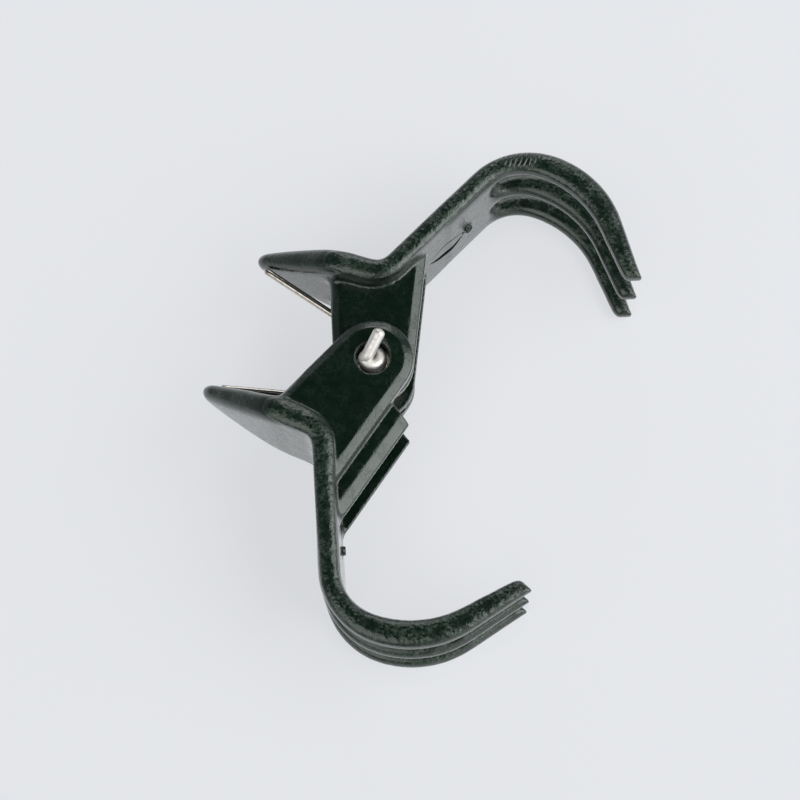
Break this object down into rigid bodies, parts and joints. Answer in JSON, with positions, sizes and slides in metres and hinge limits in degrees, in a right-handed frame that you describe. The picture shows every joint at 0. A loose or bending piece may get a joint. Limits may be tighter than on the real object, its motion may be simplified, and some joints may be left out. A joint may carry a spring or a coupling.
{
  "type": "orchid clip",
  "caption": "Small spring clip with two curved claws of open tines, squeezed at the finger pads to hold a flower stem against a stake.",
  "frame": {"origin": "middle of the clip as it lies on its side, on the plane of its lower side faces", "axes": "+Z along the hinge axis, towards the pin's hooked end; +X towards the tine tips; +Y across the opened jaws, towards the upper jaw"},
  "size_m": [0.0324, 0.045, 0.0109],
  "materials": {
    "jaw_plastic": "glossy injection moulded plastic, very dark green",
    "spring_wire": "bright drawn spring steel wire"
  },
  "bodies": {
    "lower_jaw": {"lower_jaw": "jaw_plastic", "hinge_pin": "spring_wire", "torsion_spring": "spring_wire"},
    "upper_jaw": {"upper_jaw": "jaw_plastic"}
  },
  "joints": [
    {"name": "jaw_hinge", "type": "hinge", "parent": "lower_jaw", "child": "upper_jaw", "pos_m": [-0.00279, 0, 0.005], "axis": [0, 0, 1], "range_deg": [-72.5, 36], "stiffness_Nm_per_rad": 0.01, "springref_deg": -100.27, "deforming": ["torsion_spring"]}
  ]
}
